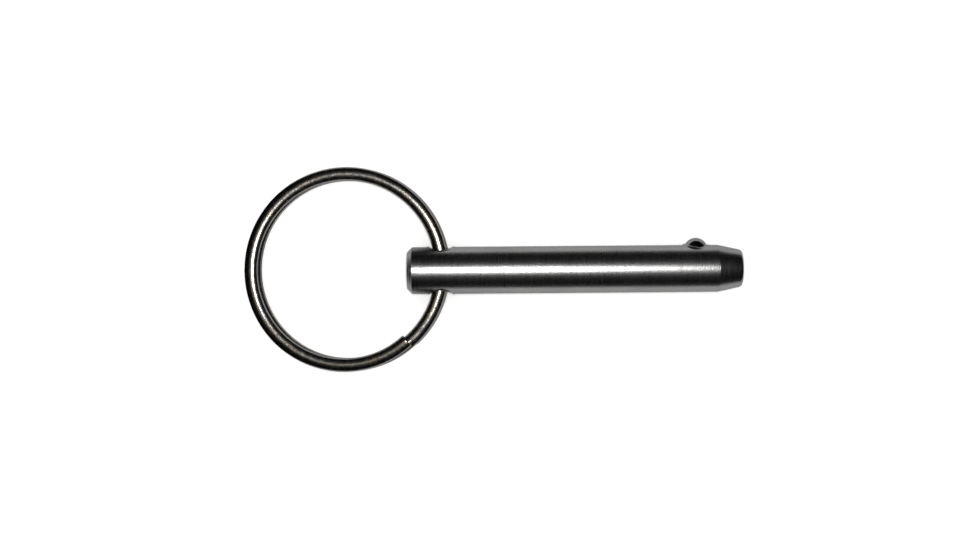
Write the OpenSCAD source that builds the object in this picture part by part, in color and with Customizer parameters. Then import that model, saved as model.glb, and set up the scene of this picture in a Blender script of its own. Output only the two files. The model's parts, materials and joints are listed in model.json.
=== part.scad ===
// Detent ring pin: a plain round shank with a sprung ball near its tip and a two-turn split ring
// through a cross-hole near its head. It lies on its side. +X runs along the shank from head to tip,
// +Y is the way the ball points, and +Z is up. The origin is on the shank's axis, midway along the
// usable length.

/* [Shank] */
// Diameter of the shank
shank_d = 6.35; // [6:0.05:7]
// Usable length, from the ring's wire to the ball
usable_length = 31.75; // [25:0.25:60]
// Head end face to the cross-hole's axis
head_length = 4.6; // [4:0.1:8]
// Ball centre to the tip's end face
tip_length = 6.2; // [5.5:0.1:10]
// Length of the tapered tip
taper_length = 3.3; // [2:0.1:4]
// Slope of the tapered tip, in degrees from the axis
taper_angle = 12; // [8:1:16]
// Rounding of the tip's front edge
tip_round = 0.5; // [0.2:0.1:0.8]
// Width of the 45 degree chamfer at the head end
head_chamfer = 0.7; // [0.4:0.05:1]
// Rounding between the chamfer and the head end face
head_round = 0.3; // [0.1:0.05:0.4]
// How far the two drilled ends are under the diameter of the ground grip between them
end_relief = 0.01; // [0.005:0.005:0.05]

/* [Cross-hole] */
// Diameter of the cross-hole
cross_hole_d = 3.25; // [3.2:0.05:3.5]
// Height of the rim pushed up around each mouth of the cross-hole
rim_height = 0.1; // [0.05:0.01:0.15]
// Width of the rim around each mouth of the cross-hole
rim_width = 0.3; // [0.2:0.05:0.5]
// Depth of the edge break at each mouth of the cross-hole
edge_break = 0.15; // [0.05:0.05:0.2]

/* [Detent] */
// Diameter of the ball
ball_d = 3.175; // [3:0.025:3.175]
// How far the ball stands out of the shank
ball_out = 0.96; // [0.6:0.02:1]
// Diameter of the blind hole behind the ball
ball_hole_d = 3.25; // [3.22:0.01:3.3]
// Depth of the blind hole's straight wall below the shank's axis
ball_hole_depth = 1.6; // [1.4:0.05:1.7]
// Width left between the two staked lips that keep the ball in
lip_gap = 3.04; // [3.03:0.01:3.06]
// Height of the staked lip on the tip side
lip_height = 0.08; // [0.05:0.01:0.12]
// Height of the heavier staked lip on the head side
stake_height = 0.2; // [0.12:0.01:0.24]
// Diameter of the spring's wire
spring_wire = 0.35; // [0.25:0.01:0.36]
// Diameter of the spring, across the middle of its wire
spring_d = 2.3; // [2:0.05:2.4]
// Number of turns in the spring
spring_turns = 5; // [4:0.5:5]

/* [Split ring] */
// Outside diameter of each turn of the ring
ring_od = 27.7; // [24:0.1:32]
// Width of the flattened wire, across the ring
wire_w = 1.84; // [1.6:0.02:1.9]
// Thickness of the flattened wire, which is oval in section
wire_t = 1.3; // [1.1:0.02:1.4]
// Gap between the two turns
turn_gap = 0.04; // [0.02:0.01:0.08]
// How far the wire's upper end has drifted away from the shank
end_drift = 0.34; // [0:0.02:0.4]
// How far the ring's centre lies to the ball's side of the shank's axis
ring_side = 0.25; // [-0.2:0.05:0.3]
// Place of the wire's two ends around the ring, one above the other, in degrees from the shank
end_angle = -48; // [-70:1:-40]

/* [Hidden] */
$fn = 96;

shank_r = shank_d / 2;
cross_hole_r = cross_hole_d / 2;
ball_r = ball_d / 2;
ball_hole_r = ball_hole_d / 2;
past = 1; // a cutter runs this far past the surface that it opens

// stations along the shank
ball_y = shank_r + ball_out - ball_r;
ball_half_width = sqrt(ball_r ^ 2 - (shank_r - ball_y) ^ 2);
ring_reach = 1.2; // from the cross-hole's axis to the tip side of the ring's wire
hole_x = -usable_length / 2 - ring_reach;
ball_x = usable_length / 2 + ball_half_width;
head_x = hole_x - head_length;
tip_x = ball_x + tip_length;
taper_x = tip_x - taper_length;

// the ground grip, with a short ramp down to the relieved diameter at each end
ramp_length = 0.6;
ramp_margin = 0.1; // between a hole's raised edge and the ramp beside it
end_r = shank_r - end_relief;
grip_start_x = hole_x + cross_hole_r + rim_width + ramp_margin + ramp_length;
grip_end_x = ball_x - ball_hole_r - rim_width - ramp_margin - ramp_length;

// the tip's front edge
tip_r = end_r - taper_length * tan(taper_angle);
tip_centre = [tip_x - tip_round, tip_r - tip_round * tan(45 - taper_angle / 2)];

// the head's rounded edge, which touches the end face and the chamfer
head_face_r = end_r - head_chamfer;
head_round_r = head_face_r - head_round * tan(22.5);
round_steps = 6;

// the drilled floor behind the ball, and the spring that stands on it
drill_point_angle = 118;
floor_slope = 90 - drill_point_angle / 2;
drill_point_length = ball_hole_r * tan(floor_slope);
spring_r = spring_d / 2;
wire_r = spring_wire / 2;
spring_play = 0.03;
spring_low = -ball_hole_depth - (ball_hole_r - spring_r) * tan(floor_slope)
    + wire_r / cos(floor_slope) + spring_play;
spring_high = ball_y - sqrt((ball_r + wire_r) ^ 2 - spring_r ^ 2) - spring_play;
closed_turns = 0.75; // at each end, where the turns touch
closed_pitch = spring_wire + 0.02;
open_pitch = (spring_high - spring_low - 2 * closed_turns * closed_pitch)
    / (spring_turns - 2 * closed_turns);
spring_sides = 8;
steps_per_turn = 18;

// the lips that were staked over the ball
lip_r = lip_gap / 2;
lip_floor_y = 3.05;
lip_width = 0.3;

// the ring
ring_r = (ring_od - wire_w) / 2; // middle of the wire
turn_pitch = wire_t + turn_gap;
// the wire bows inside the cross-hole, so the ring's centre is set to share that bow evenly
wire_bow = ring_r - sqrt(ring_r ^ 2 - shank_r ^ 2);
ring_offset = ring_r - wire_bow / 2;
// the ring tilts about the cross-hole until its far edge is as low as the shank's underside
far_reach = ring_offset + ring_r;
ring_play = 0.03; // left between the ring's far edge and the height of the shank's underside
ring_tilt = asin((shank_r - wire_t / 2 - ring_play) / far_reach);
wire_sides = 20;
ring_step = 6; // degrees of the ring between two sections of its wire

// points on a circle around c, from angle a to angle b
function arc_points(c, r, a, b, steps) =
    [for (i = [0 : steps]) let (t = a + (b - a) * i / steps) c + r * [cos(t), sin(t)]];

// triangles of a tube with this many rings of this many points, closed at both ends
function tube_faces(rings, sides) = concat(
    [[for (k = [sides - 1 : -1 : 0]) k]],
    [for (i = [0 : rings - 2], k = [0 : sides - 1])
        let (n = (k + 1) % sides, a = i * sides, b = a + sides)
        each [[a + k, a + n, b + n], [a + k, b + n, b + k]]],
    [[for (k = [0 : sides - 1]) (rings - 1) * sides + k]]
);

// outline of the shank above its axis, as [station, radius]
function shank_outline() = concat(
    [[head_x, 0]],
    [for (p = arc_points([head_x + head_round, head_round_r], head_round, 180, 135, round_steps)) p],
    [[head_x + head_chamfer, end_r]],
    [[grip_start_x - ramp_length, end_r]],
    [[grip_start_x, shank_r]],
    [[grip_end_x, shank_r]],
    [[grip_end_x + ramp_length, end_r]],
    [[taper_x, end_r]],
    [for (p = arc_points(tip_centre, tip_round, 90 - taper_angle, 0, round_steps)) p],
    [[tip_x, 0]]
);

// turns a shape made about Z so that its Z runs along X
module along_x() {
    rotate([0, 90, 0])
        children();
}

// turns a shape made about Z so that its Z runs along Y, at station x
module along_y(x) {
    translate([x, 0, 0])
        rotate([-90, 0, 0])
            children();
}

module shank_blank() {
    along_x()
        rotate_extrude()
            polygon([for (p = shank_outline()) [p[1], p[0]]]);
}

// a band around the shank's axis, r in radius, that covers x_from to x_to
module round_band(r, x_from, x_to) {
    translate([x_from, 0, 0])
        along_x()
            cylinder(h = x_to - x_from, r = r);
}

// metal pushed up around both mouths of the cross-hole
module cross_hole_rims() {
    rim_r = cross_hole_r + rim_width;
    intersection() {
        round_band(shank_r + rim_height, hole_x - rim_r - past, hole_x + rim_r + past);
        along_y(hole_x)
            cylinder(h = shank_d + 2 * past, r = rim_r, center = true);
    }
}

module cross_hole() {
    mouth_y = shank_r + rim_height;
    along_y(hole_x) {
        cylinder(h = shank_d + 2 * past, r = cross_hole_r, center = true);
        for (side = [0, 180])
            rotate([side, 0, 0])
                translate([0, 0, mouth_y - edge_break])
                    cylinder(h = past, r1 = cross_hole_r, r2 = cross_hole_r + past);
    }
}

module ball_hole() {
    along_y(ball_x) {
        translate([0, 0, -ball_hole_depth])
            cylinder(h = ball_hole_depth + shank_r + past, r = ball_hole_r);
        translate([0, 0, -ball_hole_depth - drill_point_length])
            cylinder(h = drill_point_length, r1 = 0, r2 = ball_hole_r);
    }
}

// one lip staked over the ball, on the side of it that x_from to x_to covers
module staked_lip(height, x_from, x_to) {
    intersection() {
        round_band(shank_r + height, x_from, x_to);
        along_y(ball_x)
            difference() {
                translate([0, 0, lip_floor_y])
                    cylinder(h = past, r = ball_hole_r + lip_width);
                translate([0, 0, lip_floor_y - past])
                    cylinder(h = 3 * past, r = lip_r);
            }
    }
}

module shank() {
    lip_reach = ball_hole_r + lip_width + past;
    color("silver") {
        difference() {
            union() {
                shank_blank();
                cross_hole_rims();
            }
            cross_hole();
            ball_hole();
        }
        staked_lip(stake_height, ball_x - lip_reach, ball_x);
        staked_lip(lip_height, ball_x, ball_x + lip_reach);
    }
}

module detent_ball() {
    color("dimgray")
        translate([ball_x, ball_y, 0])
            sphere(r = ball_r);
}

// height of the spring's wire after t turns, with the turns closed up at both ends
function spring_height(t) =
    t < closed_turns ? t * closed_pitch
    : t > spring_turns - closed_turns
        ? spring_high - spring_low - (spring_turns - t) * closed_pitch
        : closed_turns * closed_pitch + (t - closed_turns) * open_pitch;

module detent_spring() {
    rings = spring_turns * steps_per_turn + 1;
    points = [
        for (i = [0 : rings - 1], k = [0 : spring_sides - 1])
            let (
                t = i / steps_per_turn,
                a = 360 * t,
                s = 360 * k / spring_sides,
                r = spring_r + wire_r * cos(s)
            )
            [r * cos(a), r * sin(a), spring_low + spring_height(t) + wire_r * sin(s)]
    ];
    color("gray")
        along_y(ball_x)
            polyhedron(points, tube_faces(rings, spring_sides));
}

// oval section of the flattened wire, centred on the origin
function wire_points() = [
    for (k = [0 : wire_sides - 1])
        let (t = 360 * k / wire_sides)
        [wire_w / 2 * cos(t), wire_t / 2 * sin(t)]
];

// the whole wire, about the ring's own centre: two turns of an even helix, lower end first, whose
// upper turn drifts sideways. The two passes through the cross-hole are as far below as above its middle
module ring_wire() {
    rings = 720 / ring_step + 1;
    points = [
        for (i = [0 : rings - 1], p = wire_points())
            let (
                turns = 2 * i / (rings - 1),
                a = end_angle + 360 * turns,
                r = ring_r + p[0],
                drift = end_drift * turns * (turns - 1) / 2,
                z = turn_pitch * (a / 360 - 0.5) + p[1]
            )
            [r * cos(a) - drift, r * sin(a), z]
    ];
    polyhedron(points, tube_faces(rings, wire_sides));
}

module split_ring() {
    color("lightgray")
        translate([hole_x, 0, 0])
            rotate([0, -ring_tilt, 0])
                translate([-ring_offset, ring_side, 0])
                    ring_wire();
}

shank();
detent_ball();
detent_spring();
split_ring();
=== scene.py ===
import json
import math

import bmesh
import bpy
import numpy as np
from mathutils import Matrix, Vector


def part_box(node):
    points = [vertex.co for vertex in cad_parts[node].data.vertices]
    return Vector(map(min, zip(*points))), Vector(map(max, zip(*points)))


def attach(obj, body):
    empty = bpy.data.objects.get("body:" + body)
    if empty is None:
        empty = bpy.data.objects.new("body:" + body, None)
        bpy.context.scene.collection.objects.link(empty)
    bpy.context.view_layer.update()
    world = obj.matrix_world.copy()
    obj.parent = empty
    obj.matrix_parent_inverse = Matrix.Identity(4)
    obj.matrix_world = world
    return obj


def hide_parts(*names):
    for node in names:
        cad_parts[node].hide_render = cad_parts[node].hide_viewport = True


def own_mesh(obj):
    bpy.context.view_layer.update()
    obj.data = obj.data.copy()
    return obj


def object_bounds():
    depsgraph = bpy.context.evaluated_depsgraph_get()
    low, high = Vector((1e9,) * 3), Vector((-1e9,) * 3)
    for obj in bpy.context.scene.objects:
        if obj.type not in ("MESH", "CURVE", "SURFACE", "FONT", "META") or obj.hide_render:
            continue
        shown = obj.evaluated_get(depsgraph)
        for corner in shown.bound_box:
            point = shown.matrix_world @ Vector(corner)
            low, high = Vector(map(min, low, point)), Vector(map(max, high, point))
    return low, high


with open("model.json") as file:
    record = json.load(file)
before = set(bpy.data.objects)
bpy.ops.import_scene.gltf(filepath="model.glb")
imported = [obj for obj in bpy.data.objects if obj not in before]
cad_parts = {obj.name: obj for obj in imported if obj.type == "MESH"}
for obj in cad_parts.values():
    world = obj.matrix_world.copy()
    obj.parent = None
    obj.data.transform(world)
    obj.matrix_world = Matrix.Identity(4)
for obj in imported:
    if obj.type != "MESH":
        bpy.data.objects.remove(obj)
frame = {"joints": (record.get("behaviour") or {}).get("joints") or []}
cad_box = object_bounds()

# Detent ring pin. Lengths are in millimetres in the row frame and become metres in new_piece().
# +X runs along the shank from head to tip, +Y is the way the ball points, and +Z is up.
MM = 0.001
WELD_DISTANCE = 1e-4


def box_mm(node):
    """Lowest and highest corner of a CAD node, in millimetres."""
    low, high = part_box(node)
    return np.array(low) / MM, np.array(high) / MM


def joint(name):
    """The frame's joint with this name."""
    return next(j for j in frame["joints"] if j["name"] == name)


# ---------------------------------------------------------------- sizes and places

shank_low, shank_high = box_mm("shank")
ball_low, ball_high = box_mm("detent_ball")
spring_low, spring_high = box_mm("detent_spring")
ring_low, _ = box_mm("split_ring")

head_x, tip_x = shank_low[0], shank_high[0]
shank_r = shank_high[2]
ball_centre = (ball_low + ball_high) / 2
ball_r = (ball_high[1] - ball_low[1]) / 2
ball_x = ball_centre[0]
hole_x = joint("ring_swing")["pos_m"][0] / MM

END_RELIEF = 0.01  # the drilled ends are this much under the ground grip
RAMP_LENGTH = 0.6
RELIEF_MARGIN = 0.1  # relieved steel between a hole's rim and the ramp up to the grip
CROSS_HOLE_R = 1.625
BALL_HOLE_R = 1.625
RIM_WIDTH = 0.3
RIM_HEIGHT = 0.1
RIM_ROUND = 0.15
RIM_SKIRT = 0.1  # plain barrel between the rim and the inner circle of its patch
HEAD_CHAMFER = 0.7
HEAD_ROUND = 0.3
HEAD_CORNER_ROUND = 0.12
TAPER_LENGTH = 3.3
TAPER_ANGLE = math.radians(12)
TAPER_CORNER_ROUND = 0.05
TIP_ROUND = 0.5
LIP_R = 1.52
LIP_HEIGHT = 0.08
STAKE_HEIGHT = 0.2
LIP_ROUND = 0.06
LIP_SKIRT = 0.15
LIP_DEPTH = 0.3  # the hole widens from the lip to its full radius over this depth
STAKE_FADE = 0.35  # the stake gives way to the low lip where the cosine round the hole is within this
BALL_GAP = 0.01
BALL_HOLE_DEPTH = 1.6
DRILL_SLOPE = math.radians(31)

end_r = shank_r - END_RELIEF
taper_x = tip_x - TAPER_LENGTH
grip_start_x = hole_x + CROSS_HOLE_R + RIM_WIDTH + RELIEF_MARGIN + RAMP_LENGTH
grip_end_x = ball_x - BALL_HOLE_R - RIM_WIDTH - RELIEF_MARGIN - RAMP_LENGTH

# the shank's lathe grid, and the square patch round each hole that is cut from it
AROUND = 128
PATCH_CELLS = 40
PATCH_HALF_X = 2.9
CORNER_STEPS = 8
MIDDLE_STATIONS = 30
CONE_STATIONS = 8
DISC_FRACTIONS = [0.2, 0.5, 0.8]
patch_half_angle = math.pi * PATCH_CELLS / AROUND

# the ring, whose outside radius is 0.01 mm under the CAD one's, because that one is faceted
RING_OD = 27.68
WIRE_W = 1.84
WIRE_T = 1.3
TURN_GAP = 0.04
END_DRIFT = 0.34
RING_SIDE = 0.25
END_ANGLE = math.radians(-48)
WIRE_END_ROUND = 0.14
RING_PLAY = 0.03
WIRE_SIDES = 44
WIRE_ROWS = 800


# ---------------------------------------------------------------- mesh helpers

def smoothstep(t):
    t = np.clip(t, 0, 1)
    return t * t * (3 - 2 * t)


def new_piece(name, points, faces, body, node, material):
    """A smooth mesh piece from points in millimetres, welded and turned outward, in place of a CAD node."""
    bm = bmesh.new()
    verts = [bm.verts.new(p) for p in points]
    for face in faces:
        corners = list(dict.fromkeys(face))
        if len(corners) > 2:
            bm.faces.new([verts[i] for i in corners])
    bmesh.ops.delete(bm, geom=[v for v in verts if not v.link_faces], context="VERTS")
    bmesh.ops.remove_doubles(bm, verts=bm.verts, dist=WELD_DISTANCE)
    bmesh.ops.recalc_face_normals(bm, faces=bm.faces)
    for face in bm.faces:
        face.smooth = True
    mesh = bpy.data.meshes.new(name)
    bmesh.ops.scale(bm, vec=(MM, MM, MM), verts=bm.verts)
    bm.to_mesh(mesh)
    bm.free()
    mesh.materials.append(material)
    piece = bpy.data.objects.new(name, mesh)
    bpy.context.scene.collection.objects.link(piece)
    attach(piece, body)
    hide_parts(node)
    return piece


class Surface:
    """Collects points and quads. Rows of points are joined to the row before them."""

    def __init__(self):
        self.points = []
        self.faces = []

    def add(self, row):
        start = len(self.points)
        self.points.extend(map(tuple, row))
        return list(range(start, len(self.points)))

    def band(self, a, b):
        """Quads between two closed rows with the same number of points."""
        n = len(a)
        self.faces.extend((a[k], a[(k + 1) % n], b[(k + 1) % n], b[k]) for k in range(n))

    def rows(self, rows):
        """Closed rows joined one to the next. Returns the last row's indices."""
        last = self.add(rows[0])
        for row in rows[1:]:
            now = self.add(row)
            self.band(last, now)
            last = now
        return last

    def cap(self, row, centre):
        """A fan that closes a row."""
        tip = self.add([centre])[0]
        n = len(row)
        self.faces.extend((row[k], row[(k + 1) % n], tip) for k in range(n))

    def tube(self, rows):
        """Closed rows joined one to the next, with a fan over each end."""
        start = len(self.points)
        last = self.rows(rows)
        self.cap(range(start, start + len(rows[0])), rows[0].mean(0))
        self.cap(last, rows[-1].mean(0))


def rounded_outline(corners, steps):
    """An outline of [station, radius] corners, each rounded by its third number."""
    points = [np.array(corners[0][:2])]
    for before, here, after in zip(corners, corners[1:], corners[2:]):
        p = np.array(here[:2])
        to_a = np.array(before[:2]) - p
        to_b = np.array(after[:2]) - p
        to_a = to_a / np.linalg.norm(to_a)
        to_b = to_b / np.linalg.norm(to_b)
        half = math.acos(np.clip(to_a @ to_b, -1, 1)) / 2
        reach = here[2] / math.tan(half)
        middle = (to_a + to_b) / np.linalg.norm(to_a + to_b)
        centre = p + middle * here[2] / math.sin(half)
        start, end = p + to_a * reach - centre, p + to_b * reach - centre
        turn = math.pi - 2 * half
        for s in np.linspace(0, 1, steps + 1):
            mix = (math.sin((1 - s) * turn) * start + math.sin(s * turn) * end) / math.sin(turn)
            points.append(centre + mix)
    points.append(np.array(corners[-1][:2]))
    return points


# ---------------------------------------------------------------- shank

def barrel_radius(x):
    """Radius of the shank's barrel at stations x, with the relieved ends and their ramps."""
    stations = [grip_start_x - RAMP_LENGTH, grip_start_x, grip_end_x, grip_end_x + RAMP_LENGTH]
    return np.interp(x, stations, [end_r, shank_r, shank_r, end_r])


def on_barrel(x, z, rise, side):
    """Points that stand rise above the barrel at station x and depth z, on the +Y (1) or -Y (-1) side."""
    r = barrel_radius(x) + rise
    y = np.sqrt(r * r - z * z)
    return np.column_stack([x, side * y, side * z])


def patch_angles():
    """Angle round a hole of each point on the boundary of its square patch."""
    return np.radians(-45 + 90 / PATCH_CELLS * np.arange(4 * PATCH_CELLS))


def patch_boundary():
    """The square patch's boundary, from -1 to 1 along the shank and round it."""
    w = -1 + 2 * np.arange(PATCH_CELLS) / PATCH_CELLS
    one = np.ones(PATCH_CELLS)
    return np.concatenate([np.column_stack(c) for c in [(one, w), (-w, one), (-one, -w), (w, -one)]])


def patch_rows(x, side, inner_r, steps=9):
    """Rows from the square patch's boundary in to a circle of radius inner_r about the hole."""
    t = patch_angles()
    square = patch_boundary()
    sx = x + square[:, 0] * PATCH_HALF_X
    s_angle = square[:, 1] * patch_half_angle
    cx = x + inner_r * np.cos(t)
    c_angle = np.arcsin(inner_r * np.sin(t) / barrel_radius(cx))
    rows = []
    for w in np.linspace(0, 1, steps + 1):
        px = sx + (cx - sx) * w
        angle = s_angle + (c_angle - s_angle) * w
        r = barrel_radius(px)
        rows.append(np.column_stack([px, side * r * np.cos(angle), side * r * np.sin(angle)]))
    return rows


def waviness(t, seed):
    """A gentle, repeatable unevenness round a hole, about -1 to 1."""
    return sum(math.sin(seed * k) / k * np.sin(k * t + seed * k * k) for k in range(2, 8))


def cross_hole_rows(side):
    """Rows from the patch over the pushed-up rim, round the mouth's edge and down to the shank's axis."""
    t = patch_angles()
    outer_r = CROSS_HOLE_R + RIM_ROUND + 2 * RIM_WIDTH / 3
    crest_r = CROSS_HOLE_R + RIM_ROUND
    rows = patch_rows(hole_x, side, outer_r + RIM_SKIRT)
    height = RIM_HEIGHT * (0.72 + 0.28 * waviness(t, 1.7 + side))
    for s in np.linspace(0, 1, 9):
        rho = outer_r + (crest_r - outer_r) * s
        rows.append(on_barrel(hole_x + rho * np.cos(t), rho * np.sin(t), height * smoothstep(s), side))
    for a in np.linspace(0, math.pi / 2, 7)[1:]:
        rho = crest_r - RIM_ROUND * math.sin(a)
        drop = RIM_ROUND * (1 - math.cos(a))
        rows.append(on_barrel(hole_x + rho * np.cos(t), rho * np.sin(t), height - drop, side))
    edge = rows[-1]
    for s in np.linspace(0, 1, 9)[1:]:
        wall = edge.copy()
        wall[:, 1] = edge[:, 1] * (1 - s)
        rows.append(wall)
    return rows


def clear_of_ball(row):
    """The row's points, with any that are nearer to the ball than its gap pushed straight out to it."""
    away = row - np.array([ball_x, ball_centre[1], 0])
    distance = np.linalg.norm(away, axis=1)
    push = np.maximum((ball_r + BALL_GAP) / distance, 1)
    return row - away + away * push[:, None]


def ball_hole_rows():
    """Rows from the patch over the staked lips, in over the ball, and down the blind hole."""
    t = patch_angles()
    cos_t, sin_t = np.cos(t), np.sin(t)
    outer_r = BALL_HOLE_R + RIM_WIDTH
    head_side = smoothstep((-cos_t + STAKE_FADE) / (2 * STAKE_FADE))
    height = LIP_HEIGHT + (STAKE_HEIGHT - LIP_HEIGHT) * head_side
    height = height * (0.9 + 0.1 * waviness(t, 0.9))
    edge_y = np.sqrt((shank_r + height) ** 2 - (BALL_HOLE_R * sin_t) ** 2)
    clear_r = np.sqrt(np.maximum((ball_r + BALL_GAP) ** 2 - (edge_y - ball_centre[1]) ** 2, 0))
    lip_r = np.clip(clear_r, LIP_R, BALL_HOLE_R)
    crest_r = lip_r + LIP_ROUND
    rows = patch_rows(ball_x, 1, outer_r + LIP_SKIRT)
    for s in np.linspace(0, 1, 9):
        rho = outer_r + (crest_r - outer_r) * s
        rows.append(on_barrel(ball_x + rho * cos_t, rho * sin_t, height * smoothstep(s), 1))
    for a in np.linspace(0, math.pi / 2, 6)[1:]:
        rho = crest_r - LIP_ROUND * math.sin(a)
        drop = LIP_ROUND * (1 - math.cos(a))
        rows.append(on_barrel(ball_x + rho * cos_t, rho * sin_t, height - drop, 1))
    edge = rows[-1]
    for s in np.linspace(0, 1, 5)[1:]:
        rho = lip_r + (BALL_HOLE_R - lip_r) * smoothstep(s)
        y = edge[:, 1] - LIP_DEPTH * s
        rows.append(np.column_stack([ball_x + rho * cos_t, y, rho * sin_t]))
    below = rows[-1]
    for s in np.linspace(0, 1, 9)[1:]:
        wall = below.copy()
        wall[:, 1] = below[:, 1] + (-BALL_HOLE_DEPTH - below[:, 1]) * s
        rows.append(wall)
    for s in (0.25, 0.5, 0.75, 0.95):
        rho = BALL_HOLE_R * (1 - s)
        y = -BALL_HOLE_DEPTH - BALL_HOLE_R * s * math.tan(DRILL_SLOPE)
        rows.append(np.column_stack([ball_x + rho * cos_t, np.full_like(t, y), rho * sin_t]))
    return [clear_of_ball(row) for row in rows]


def shank_stations():
    """Outline of the shank from the head's centre to the tip's, with every barrel station."""
    tip_corner_r = end_r - TAPER_LENGTH * math.tan(TAPER_ANGLE)
    outline = rounded_outline([
        (head_x, 0, 0),
        (head_x, end_r - HEAD_CHAMFER, HEAD_ROUND),
        (head_x + HEAD_CHAMFER, end_r, HEAD_CORNER_ROUND),
        (taper_x, end_r, TAPER_CORNER_ROUND),
        (tip_x, tip_corner_r, TIP_ROUND),
        (tip_x, 0, 0),
    ], steps=CORNER_STEPS)
    patches = [x + np.linspace(-PATCH_HALF_X, PATCH_HALF_X, PATCH_CELLS + 1) for x in (hole_x, ball_x)]
    middle = np.linspace(patches[0][-1], patches[1][0], MIDDLE_STATIONS)[1:-1]
    barrel = np.concatenate([patches[0], middle, patches[1]])
    before = [p for p in outline if p[0] < barrel[0]]
    after = [p for p in outline if p[0] > barrel[-1]]
    head_disc = [np.array([head_x, before[1][1] * s]) for s in DISC_FRACTIONS]
    cone_start, cone_end = after[CORNER_STEPS], after[CORNER_STEPS + 1]
    along_cone = np.linspace(0, 1, CONE_STATIONS)[1:-1]
    cone = [cone_start + (cone_end - cone_start) * s for s in along_cone]
    tip_disc = [np.array([tip_x, after[-2][1] * s]) for s in reversed(DISC_FRACTIONS)]
    stations = [before[0]] + head_disc + before[1:]
    first_barrel = len(stations)
    stations += [np.array([x, barrel_radius(x)]) for x in barrel]
    stations += after[:CORNER_STEPS + 1] + cone + after[CORNER_STEPS + 1:-1] + tip_disc + [after[-1]]
    starts = [first_barrel, first_barrel + len(barrel) - PATCH_CELLS - 1]
    return stations, starts


def make_shank(material):
    surface = Surface()
    stations, starts = shank_stations()
    angles = 2 * math.pi * np.arange(AROUND) / AROUND
    rows = []
    for x, r in stations:
        ring = np.column_stack([np.full(AROUND, x), r * np.cos(angles), r * np.sin(angles)])
        rows.append(surface.add(ring))
    half = PATCH_CELLS // 2
    # the cross-hole is open on both sides and the ball's hole on the +Y side only
    holes = [(starts[0], 0), (starts[0], AROUND // 2), (starts[1], 0)]

    def is_open(i, j):
        return any(s <= i < s + PATCH_CELLS and (j - c + half) % AROUND < PATCH_CELLS for s, c in holes)

    for i in range(len(rows) - 1):
        for j in range(AROUND):
            if not is_open(i, j):
                n = (j + 1) % AROUND
                surface.faces.append((rows[i][j], rows[i][n], rows[i + 1][n], rows[i + 1][j]))
    for side in (1, -1):
        surface.rows(cross_hole_rows(side))
    last = surface.rows(ball_hole_rows())
    drill_tip_y = -BALL_HOLE_DEPTH - BALL_HOLE_R * math.tan(DRILL_SLOPE)
    surface.cap(last, (ball_x, drill_tip_y, 0))
    return new_piece("pin_shank", surface.points, surface.faces, "pin", "shank", material)


# ---------------------------------------------------------------- ball and spring

def make_ball(material, cells=28):
    """A ball of six square patches, evenly spaced so that no pole shows."""
    surface = Surface()
    steps = np.tan(np.linspace(-math.pi / 4, math.pi / 4, cells + 1))
    for axis in range(3):
        for sign in (1, -1):
            grid = {}
            for i, u in enumerate(steps):
                for j, v in enumerate(steps):
                    p = np.roll(np.array([sign, u, v]), axis)
                    grid[i, j] = surface.add([ball_centre + ball_r * p / np.linalg.norm(p)])[0]
            for i in range(cells):
                for j in range(cells):
                    surface.faces.append((grid[i, j], grid[i + 1, j], grid[i + 1, j + 1], grid[i, j + 1]))
    return new_piece("lock_ball", surface.points, surface.faces, "ball", "detent_ball",
                     material)


def make_spring(material):
    """A coil of round wire with its end turns closed up."""
    wire_r = 0.175
    coil_r = 1.15
    turns, closed_turns, closed_pitch = 5, 0.75, 0.37
    low, high = spring_low[1] + wire_r, spring_high[1] - wire_r
    knots = [0, closed_turns, turns - closed_turns, turns]
    rise = closed_turns * closed_pitch
    heights = [low, low + rise, high - rise, high]
    wire_sides, per_turn = 14, 40
    around_wire = 2 * math.pi * np.arange(wire_sides) / wire_sides
    rows = []
    for t in np.linspace(0, turns, turns * per_turn + 1):
        a = 2 * math.pi * t
        r = coil_r + wire_r * np.cos(around_wire)
        y = np.interp(t, knots, heights) + wire_r * np.sin(around_wire)
        rows.append(np.column_stack([ball_x + r * math.cos(a), y, -r * math.sin(a)]))
    surface = Surface()
    surface.tube(rows)
    piece = new_piece("ball_spring", surface.points, surface.faces, "pin", "detent_spring",
                      material)
    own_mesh(piece)
    return piece


# ---------------------------------------------------------------- ring

ring_r = (RING_OD - WIRE_W) / 2
wire_bow = ring_r - math.sqrt(ring_r ** 2 - shank_r ** 2)
ring_offset = ring_r - wire_bow / 2
turn_pitch = WIRE_T + TURN_GAP
far_reach = ring_offset + ring_r
ring_tilt = math.asin((shank_r - WIRE_T / 2 - RING_PLAY) / far_reach)
path_end = END_ANGLE + 4 * math.pi
round_angle = WIRE_END_ROUND / ring_r


def wire_row(angle, inset=0.0):
    """One closed row of the oval wire at this angle of its path, drawn in by inset all round."""
    turns = (angle - END_ANGLE) / (2 * math.pi)
    u = 2 * math.pi * np.arange(WIRE_SIDES) / WIRE_SIDES
    r = ring_r + (WIRE_W / 2 - inset) * np.cos(u)
    drift = END_DRIFT * turns * (turns - 1) / 2
    z = turn_pitch * (angle / (2 * math.pi) - 0.5) + (WIRE_T / 2 - inset) * np.sin(u)
    return np.column_stack([r * math.cos(angle) - drift, r * math.sin(angle), z])


def place_ring(points):
    """From the ring's own flat frame to where it hangs in the cross-hole."""
    x = points[:, 0] - ring_offset
    c, s = math.cos(ring_tilt), math.sin(ring_tilt)
    z = points[:, 2]
    return np.column_stack([hole_x + x * c - z * s, points[:, 1] + RING_SIDE, x * s + z * c])


def rounded_end(end, inward):
    """Rows of the wire's rounded end, from its face to its full width, inward being 1 or -1."""
    rows = []
    for a in np.linspace(math.pi / 2, 0, 7)[:-1]:
        along = round_angle * (1 - math.sin(a))
        rows.append(wire_row(end + inward * along, WIRE_END_ROUND * (1 - math.cos(a))))
    return rows


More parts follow.
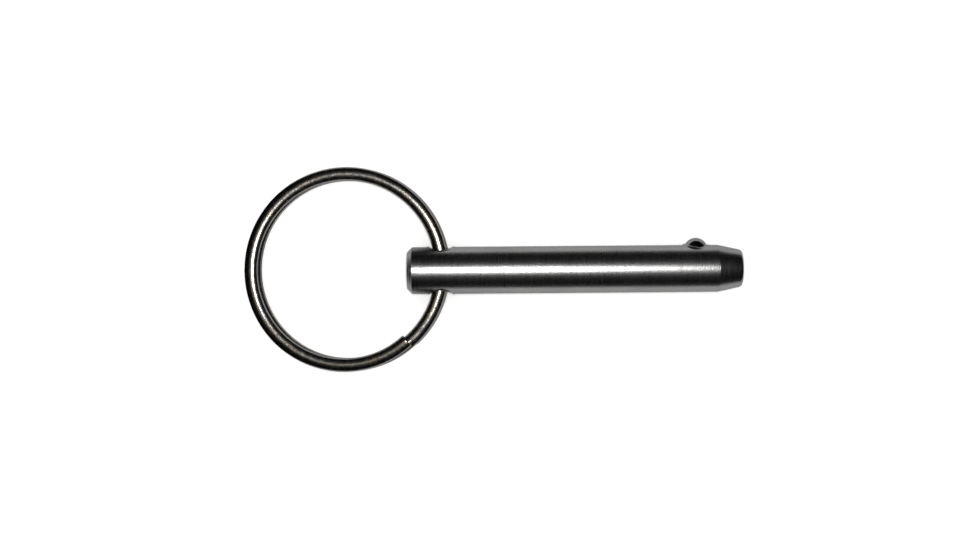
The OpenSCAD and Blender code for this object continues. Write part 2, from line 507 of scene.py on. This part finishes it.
def make_ring(material):
    """The whole wire, from its lower end to its upper end."""
    body = [wire_row(a) for a in np.linspace(END_ANGLE + round_angle, path_end - round_angle, WIRE_ROWS)]
    rows = rounded_end(END_ANGLE, 1) + body + rounded_end(path_end, -1)[::-1]
    surface = Surface()
    surface.tube([place_ring(row) for row in rows])
    return new_piece("key_ring", surface.points, surface.faces, "ring", "split_ring", material)


# ---------------------------------------------------------------- materials

class Nodes:
    """A short way to build a material's node tree."""

    def __init__(self, name):
        self.material = bpy.data.materials.new(name)
        self.material.use_nodes = True
        self.tree = self.material.node_tree
        self.shader = self.tree.nodes["Principled BSDF"]

    def new(self, kind, **inputs):
        node = self.tree.nodes.new(kind)
        for key, value in inputs.items():
            self.put(node.inputs[key.replace("_", " ")], value)
        return node

    def put(self, socket, value):
        if isinstance(value, bpy.types.NodeSocket):
            self.tree.links.new(value, socket)
        else:
            socket.default_value = value

    def coordinates(self, scale):
        """Object coordinates, in millimetres times scale."""
        place = self.new("ShaderNodeTexCoord").outputs["Object"]
        mapping = self.new("ShaderNodeMapping", Vector=place, Scale=[s / MM for s in scale])
        return mapping.outputs["Vector"]

    def noise(self, vector, scale=1.0, detail=3.0, roughness=0.55):
        node = self.new("ShaderNodeTexNoise", Vector=vector, Scale=scale, Detail=detail, Roughness=roughness)
        return node.outputs

    def math(self, operation, a, b=0.0, clamp=False):
        node = self.tree.nodes.new("ShaderNodeMath")
        node.operation = operation
        node.use_clamp = clamp
        self.put(node.inputs[0], a)
        self.put(node.inputs[1], b)
        return node.outputs[0]

    def spread(self, value, low, high, to_low, to_high):
        """Maps a value from low..high to to_low..to_high, held at the ends."""
        node = self.new("ShaderNodeMapRange", Value=value)
        for name, number in (("From Min", low), ("From Max", high), ("To Min", to_low), ("To Max", to_high)):
            node.inputs[name].default_value = number
        return node.outputs["Result"]

    def mix(self, factor, a, b):
        node = self.tree.nodes.new("ShaderNodeMix")
        node.data_type = "RGBA"
        self.put(node.inputs[0], factor)
        self.put(node.inputs[6], a)
        self.put(node.inputs[7], b)
        return node.outputs[2]

    def bump(self, height, strength, distance, normal=None):
        node = self.new("ShaderNodeBump", Height=height, Strength=strength, Distance=distance * MM)
        if normal is not None:
            self.put(node.inputs["Normal"], normal)
        return node.outputs["Normal"]

    def finish(self, **inputs):
        for key, value in inputs.items():
            self.put(self.shader.inputs[key.replace("_", " ")], value)
        return self.material


EDGE_TINT = (0.65, 0.65, 0.66, 1)
FINISH_BLEND = 0.02  # half the width over which one finish gives way to the next


def grey(value, warm=0.0):
    """A linear grey, warmed towards tan or cooled towards blue."""
    return (value * (1 + warm), value * (1 + 0.1 * warm), value * (1 - warm), 1)


def profile_lines(nodes, across, around):
    """Noise drawn out into fine rings about the shank's axis, on its barrel, its cone and its end faces."""
    place = nodes.new("ShaderNodeSeparateXYZ", Vector=nodes.coordinates((1, 1, 1)))
    x, y, z = (place.outputs[i] for i in range(3))
    squared = nodes.math("ADD", nodes.math("MULTIPLY", y, y), nodes.math("MULTIPLY", z, z))
    radius = nodes.math("SQRT", squared)
    along = nodes.math("MULTIPLY", nodes.math("ADD", x, radius), across)
    lines = nodes.new("ShaderNodeCombineXYZ", X=along, Y=nodes.math("MULTIPLY", y, around),
                      Z=nodes.math("MULTIPLY", z, around))
    return lines.outputs["Vector"], x


def shank_steel():
    """Centreless-ground steel: fine rings round the barrel, turned ends, a few handling scratches."""
    n = Nodes("shank_steel")
    lines, x = profile_lines(n, 9.0, 0.5)
    fine = n.noise(lines, 1.0, 4, 0.6)["Fac"]
    turned_lines, _ = profile_lines(n, 4.5, 0.15)
    turned = n.noise(turned_lines, 1.0, 2, 0.5)["Fac"]
    on_cone = n.spread(x, taper_x - FINISH_BLEND, taper_x + FINISH_BLEND, 0, 1)
    chamfer_x = head_x + HEAD_CHAMFER
    on_head = n.spread(x, chamfer_x + FINISH_BLEND, chamfer_x - FINISH_BLEND, 0, 1)
    turned_part = n.math("ADD", on_cone, on_head, clamp=True)
    grain = n.noise(n.coordinates((5, 5, 5)), 1.0, 3, 0.6)
    drift = n.noise(n.coordinates((0.22, 0.5, 0.5)), 1.0, 3, 0.5)["Fac"]
    scratch = n.noise(n.coordinates((0.35, 7, 7)), 1.0, 2, 0.5)["Fac"]
    scratch = n.spread(scratch, 0.66, 0.74, 0, 1)
    ground = n.bump(fine, 1.0, 0.0013)
    turning = n.bump(n.math("MULTIPLY", turned, turned_part), 1.0, 0.03, ground)
    grained = n.bump(grain["Fac"], 1.0, 0.013, turning)
    marked = n.bump(scratch, 0.5, -0.004, grained)
    tone = n.mix(n.spread(drift, 0.3, 0.7, 0, 1), grey(0.27, -0.02), grey(0.32, 0.02))
    tinted = n.mix(0.14, tone, grain["Color"])
    rough = n.spread(fine, 0.3, 0.7, 0.26, 0.32)
    return n.finish(Base_Color=tinted, Metallic=1.0, Roughness=rough, Specular_Tint=EDGE_TINT, Normal=marked)


def ball_steel():
    """Polished bearing steel with light wear."""
    n = Nodes("ball_steel")
    grain = n.noise(n.coordinates((5, 5, 5)), 1.0, 4, 0.6)["Fac"]
    smudge = n.noise(n.coordinates((0.9, 0.9, 0.9)), 1.0, 3, 0.5)["Fac"]
    tone = n.mix(n.spread(smudge, 0.35, 0.65, 0, 1), grey(0.22, -0.03), grey(0.28, 0.02))
    rough = n.spread(smudge, 0.3, 0.7, 0.14, 0.24)
    return n.finish(Base_Color=tone, Metallic=1.0, Roughness=rough, Specular_Tint=EDGE_TINT,
                    Normal=n.bump(grain, 1.0, 0.002))


def spring_steel():
    """Drawn spring wire with a dark oily tone."""
    n = Nodes("spring_steel")
    grain = n.noise(n.coordinates((9, 9, 9)), 1.0, 3, 0.6)["Fac"]
    tone = n.mix(grain, grey(0.16, 0.03), grey(0.26, -0.02))
    rough = n.spread(grain, 0.3, 0.7, 0.25, 0.4)
    return n.finish(Base_Color=tone, Metallic=1.0, Roughness=rough, Specular_Tint=EDGE_TINT,
                    Normal=n.bump(grain, 1.0, 0.002))


def ring_steel():
    """Plated oval wire: smooth and bright, with a warm tarnish in patches and small rubs."""
    n = Nodes("ring_steel")
    grain = n.noise(n.coordinates((6, 6, 6)), 1.0, 3, 0.6)
    patch = n.noise(n.coordinates((0.35, 0.35, 0.9)), 1.0, 4, 0.55)["Fac"]
    rub = n.noise(n.coordinates((1.8, 1.8, 1.8)), 1.0, 3, 0.6)["Fac"]
    tone = n.mix(n.spread(patch, 0.42, 0.62, 0, 1), grey(0.25, 0.0), grey(0.25, 0.12))
    tinted = n.mix(0.1, tone, grain["Color"])
    rough = n.spread(rub, 0.3, 0.7, 0.19, 0.28)
    dimpled = n.bump(rub, 1.0, 0.012)
    return n.finish(Base_Color=tinted, Metallic=1.0, Roughness=rough, Specular_Tint=EDGE_TINT,
                    Normal=n.bump(grain["Fac"], 1.0, 0.012, dimpled))


# ---------------------------------------------------------------- stage, light and camera

CAMERA_HEIGHT = 228.6
CAMERA_X = -10.61
CAMERA_Y = -0.667
CAMERA_TURN = math.radians(-0.45)
LENS = 62.28
LAMP_WIDTH = 30
LAMP_SHIFT = 4
LAMP_POWER = 0.33
ROOM_FILL = 1.0
ROOM_MIRRORED = 0.004
WARM_CARD_REACH = 0.32  # distance to the left of the ring, as a part of the camera's height
WARM_CARD_WIDTH = 50
WARM_CARD_POWER = 0.006
TABLE_HALF = 2000
TABLE_ALBEDO = 0.86
MIRRORED_HALF = 40
# painted shade: the sheet the steel mirrors is greyer than the table, in place of the floor's shade round
# the pin
MIRRORED_SHADE_ALBEDO = 0.54
MIRRORED_LIFT = 0.001


def make_table(name, albedo, lift, half):
    """A pale square sheet, lift above the pin's underside and half wide each way, both in millimetres."""
    mesh = bpy.data.meshes.new(name)
    reach = half * MM
    corners = [(-reach, -reach, 0), (reach, -reach, 0), (reach, reach, 0), (-reach, reach, 0)]
    mesh.from_pydata(corners, [], [(0, 1, 2, 3)])
    table = bpy.data.objects.new(name, mesh)
    table.location.z = cad_box[0].z + lift * MM
    bpy.context.scene.collection.objects.link(table)
    n = Nodes(name)
    speck = n.noise(n.coordinates((0.4, 0.4, 0.4)), 1.0, 2, 0.5)["Fac"]
    light, dark = albedo * 1.02, albedo * 0.98
    tone = n.mix(speck, (dark, dark, dark, 1), (light, light, light, 1))
    mesh.materials.append(n.finish(Base_Color=tone, Roughness=0.9, Specular_IOR_Level=0.0))
    return table


def make_stage():
    """A white table, and a smaller, greyer sheet that only the steel's reflections see: its grey is painted
    shade, standing for the dimmer floor round the pin.
    """
    seen = make_table("table", TABLE_ALBEDO, 0, TABLE_HALF)
    seen.visible_glossy = False
    # a grey sheet seen only in reflections: painted shade on the floor that the steel mirrors
    mirrored = make_table("table_mirrored_shade", MIRRORED_SHADE_ALBEDO, MIRRORED_LIFT, MIRRORED_HALF)
    mirrored.visible_camera = False
    mirrored.visible_diffuse = False
    mirrored.visible_transmission = False
    mirrored.visible_shadow = False


def area_light(name, place, width, power, colour):
    """A round soft light that faces the pin. place and width are in millimetres."""
    light = bpy.data.lights.new(name, "AREA")
    light.shape = "DISK"
    light.size = width * MM
    light.energy = power
    light.color = colour
    lamp = bpy.data.objects.new(name, light)
    lamp.location = Vector(place) * MM
    middle = (cad_box[0] + cad_box[1]) / 2
    lamp.rotation_euler = (middle - lamp.location).to_track_quat("-Z", "Y").to_euler()
    bpy.context.scene.collection.objects.link(lamp)


def make_light():
    """A round light above the pin, a faint warm card to its left, and a pale room mirrored dark."""
    lamp_place = (CAMERA_X, CAMERA_Y + LAMP_SHIFT, CAMERA_HEIGHT)
    card_place = (ring_low[0] - WARM_CARD_REACH * CAMERA_HEIGHT, 0, CAMERA_HEIGHT)
    area_light("lamp", lamp_place, LAMP_WIDTH, LAMP_POWER, (1, 0.995, 0.98))
    area_light("warm_card", card_place, WARM_CARD_WIDTH, WARM_CARD_POWER, (1, 0.8, 0.55))
    world = bpy.data.worlds.new("studio")
    world.use_nodes = True
    tree = world.node_tree
    room = tree.nodes["Background"]
    room.inputs["Color"].default_value = (1, 1, 1, 1)
    room.inputs["Strength"].default_value = ROOM_FILL
    dark = tree.nodes.new("ShaderNodeBackground")
    dark.inputs["Color"].default_value = (0.9, 0.97, 1.1, 1)
    dark.inputs["Strength"].default_value = ROOM_MIRRORED
    path = tree.nodes.new("ShaderNodeLightPath")
    mix = tree.nodes.new("ShaderNodeMixShader")
    tree.links.new(path.outputs["Is Glossy Ray"], mix.inputs[0])
    tree.links.new(room.outputs[0], mix.inputs[1])
    tree.links.new(dark.outputs[0], mix.inputs[2])
    tree.links.new(mix.outputs[0], tree.nodes["World Output"].inputs["Surface"])
    bpy.context.scene.world = world
    bpy.context.scene.view_settings.view_transform = "Standard"


def make_camera():
    """Straight above the pin, a little left of the middle."""
    camera = bpy.data.cameras.new("camera")
    camera.lens = LENS
    camera.sensor_width = 36
    camera.clip_start = 0.01
    camera.clip_end = 20
    holder = bpy.data.objects.new("camera", camera)
    holder.location = Vector((CAMERA_X, CAMERA_Y, CAMERA_HEIGHT)) * MM
    holder.rotation_euler = (0, 0, CAMERA_TURN)
    bpy.context.scene.collection.objects.link(holder)
    bpy.context.scene.camera = holder


make_camera()
make_shank(shank_steel())
make_ball(ball_steel())
make_spring(spring_steel())
make_ring(ring_steel())
make_stage()
make_light()
